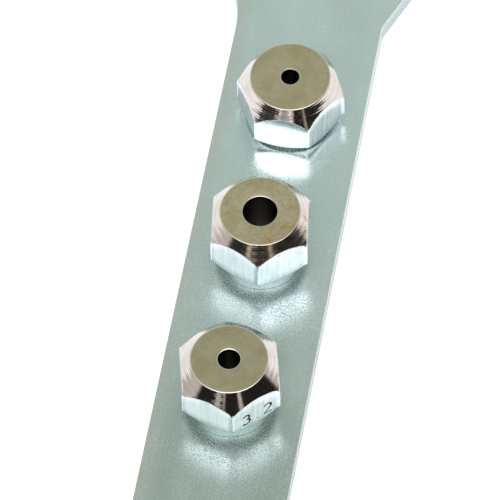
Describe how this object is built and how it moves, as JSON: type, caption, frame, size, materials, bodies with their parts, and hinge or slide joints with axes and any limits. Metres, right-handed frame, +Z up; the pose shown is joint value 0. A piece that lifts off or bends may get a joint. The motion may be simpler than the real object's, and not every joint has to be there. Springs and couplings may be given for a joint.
{
  "type": "hand riveter",
  "caption": "Plier-type hand riveter with a sprung jaw train, vinyl grips and a handle bail that carries a flat open-end nosepiece spanner with spare nosepieces.",
  "frame": {"origin": "mouth of the fitted nosepiece, on the nose axis", "axes": "+X along the nose axis and out of the nose, the handles run towards -Y, +Z up with the tool lying on its side"},
  "size_m": [0.2061, 0.2835, 0.026],
  "materials": {
    "cast_paint": "satin black enamel on an aluminium casting",
    "zinc_steel": "blue-green passivated zinc on rolled and stamped steel, faint lengthwise brushing",
    "handle_steel": "bright zinc on pressed steel",
    "vinyl": "black vinyl with a fine grain",
    "nickel": "bright nickel with fine turning marks",
    "dark_steel": "blackened hardened steel, ground and oiled",
    "spring_steel": "drawn spring wire",
    "bright_steel": "bright turned steel",
    "cap_black": "black oxide, knurled rim"
  },
  "bodies": {
    "head": {"head": "cast_paint", "fixed_handle": "handle_steel", "handle_rivets": "bright_steel", "fixed_grip": "vinyl", "pivot_pin": "bright_steel", "pivot_clip": "dark_steel", "return_spring": "spring_steel"},
    "lever": {"lever": "handle_steel", "lever_grip": "vinyl"},
    "carrier": {"pull_sleeve": "dark_steel", "jaw_case": "dark_steel", "lock_nut": "bright_steel", "pusher_spring": "spring_steel"},
    "jaw_upper": {"jaw_upper": "dark_steel"},
    "jaw_lower": {"jaw_lower": "dark_steel"},
    "jaw_pusher": {"jaw_pusher": "bright_steel"},
    "nosepiece_40": {"nosepiece_40": "nickel"},
    "rear_cap": {"rear_cap": "cap_black"},
    "bail": {"bail": "bright_steel"},
    "spanner": {"spanner": "zinc_steel"},
    "nosepiece_24": {"nosepiece_24": "nickel"},
    "nosepiece_48": {"nosepiece_48": "nickel"},
    "nosepiece_32": {"nosepiece_32": "nickel"}
  },
  "joints": [
    {"name": "lever_hinge", "type": "hinge", "parent": "head", "child": "lever", "pos_m": [-0.04853, -0.022, 0], "axis": [0, 0, 1], "range_deg": [0, 27], "stiffness_Nm_per_rad": 0.6, "springref_deg": -11.46},
    {"name": "carrier_slide", "type": "slide", "parent": "head", "child": "carrier", "axis": [-1, 0, 0], "range_m": [0, 0.0106], "deforming": ["return_spring"]},
    {"name": "jaw_upper_slide", "type": "slide", "parent": "carrier", "child": "jaw_upper", "axis": [0.9848, 0, -0.1736], "range_m": [0, 0.00251]},
    {"name": "jaw_lower_slide", "type": "slide", "parent": "carrier", "child": "jaw_lower", "axis": [0.9848, 0, 0.1736], "range_m": [0, 0.00251]},
    {"name": "jaw_pusher_slide", "type": "slide", "parent": "carrier", "child": "jaw_pusher", "axis": [1, 0, 0], "range_m": [0, 0.00247], "deforming": ["pusher_spring"]},
    {"name": "nosepiece_40_turn", "type": "hinge", "parent": "head", "child": "nosepiece_40", "pos_m": [0, 0, 0], "axis": [1, 0, 0], "continuous": true},
    {"name": "rear_cap_turn", "type": "hinge", "parent": "head", "child": "rear_cap", "pos_m": [-0.0784, 0, 0], "axis": [-1, 0, 0], "continuous": true},
    {"name": "bail_swing", "type": "hinge", "parent": "head", "child": "bail", "pos_m": [-0.02453, -0.179, 0], "axis": [0, 0, 1], "range_deg": [-105, 60]},
    {"name": "spanner_swing", "type": "hinge", "parent": "bail", "child": "spanner", "pos_m": [-0.0156, -0.21232, -0.00875], "axis": [0, 0, 1], "range_deg": [-30, 60]},
    {"name": "nosepiece_24_turn", "type": "hinge", "parent": "spanner", "child": "nosepiece_24", "pos_m": [0.04087, -0.24492, -0.0075], "axis": [0, 0, 1], "continuous": true},
    {"name": "nosepiece_48_turn", "type": "hinge", "parent": "spanner", "child": "nosepiece_48", "pos_m": [0.02519, -0.23587, -0.0075], "axis": [0, 0, 1], "continuous": true},
    {"name": "nosepiece_32_turn", "type": "hinge", "parent": "spanner", "child": "nosepiece_32", "pos_m": [0.00952, -0.22682, -0.0075], "axis": [0, 0, 1], "continuous": true}
  ],
  "couplings": [
    {"joint": "carrier_slide", "follows": "lever_hinge", "m_per_rad": 0.022391},
    {"joint": "jaw_upper_slide", "follows": "lever_hinge", "m_per_rad": 0.005305},
    {"joint": "jaw_lower_slide", "follows": "lever_hinge", "m_per_rad": 0.005305},
    {"joint": "jaw_pusher_slide", "follows": "lever_hinge", "m_per_rad": 0.005225}
  ]
}
